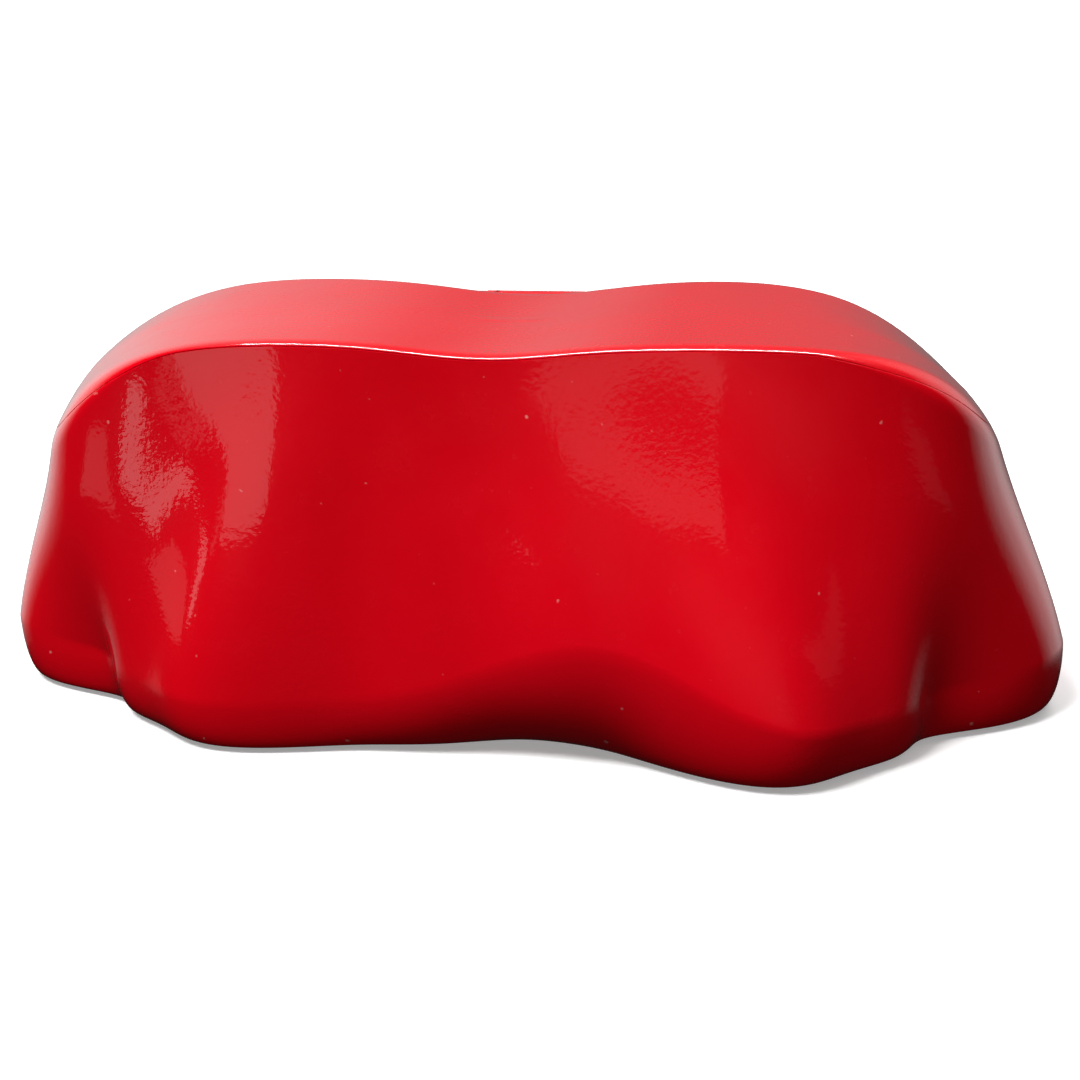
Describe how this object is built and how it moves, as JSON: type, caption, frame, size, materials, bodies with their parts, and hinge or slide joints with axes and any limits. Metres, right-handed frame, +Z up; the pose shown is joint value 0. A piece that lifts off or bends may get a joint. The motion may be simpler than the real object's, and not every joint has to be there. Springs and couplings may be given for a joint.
{
  "type": "cue chalk case",
  "caption": "Gloss lacquered desk case with a two-hump hinged lid, holding cubes of cue chalk in wells.",
  "frame": {"origin": "the middle of the underside, on the surface that the rubber feet stand on", "axes": "+X along the length, +Y to the hinge side at the back, +Z up; the front faces -Y"},
  "size_m": [0.108, 0.0486, 0.0417],
  "materials": {
    "red_lacquer": "deep gloss lacquer with fine orange peel",
    "black_plastic": "fine moulded texture",
    "chalk": "dry matt pressed chalk",
    "label_paper": "plain matt printed paper",
    "nickel": "nickel plate",
    "steel": "plain turned steel",
    "felt": "pressed wool felt",
    "rubber": "matt"
  },
  "bodies": {
    "case": {"case_body": "red_lacquer", "hinge_pin": "steel", "chalk_tray": "black_plastic", "base_plate": "black_plastic", "chalk_cube_left": "chalk", "chalk_cube_right": "chalk", "chalk_label_left": "label_paper", "chalk_label_right": "label_paper", "tray_magnet_left": "nickel", "tray_magnet_right": "nickel", "base_screw_1": "steel", "base_screw_2": "steel", "base_screw_3": "steel", "base_screw_4": "steel", "foot_1": "rubber", "foot_2": "rubber", "foot_3": "rubber", "foot_4": "rubber"},
    "lid": {"case_lid": "red_lacquer", "lid_liner": "black_plastic", "lid_magnet_left": "nickel", "lid_magnet_right": "nickel", "lid_pad_left": "felt", "lid_pad_right": "felt"}
  },
  "joints": [
    {"name": "lid_hinge", "type": "hinge", "parent": "case", "child": "lid", "pos_m": [0, 0.01722, 0.035], "axis": [-1, 0, 0], "range_deg": [0, 100]}
  ]
}
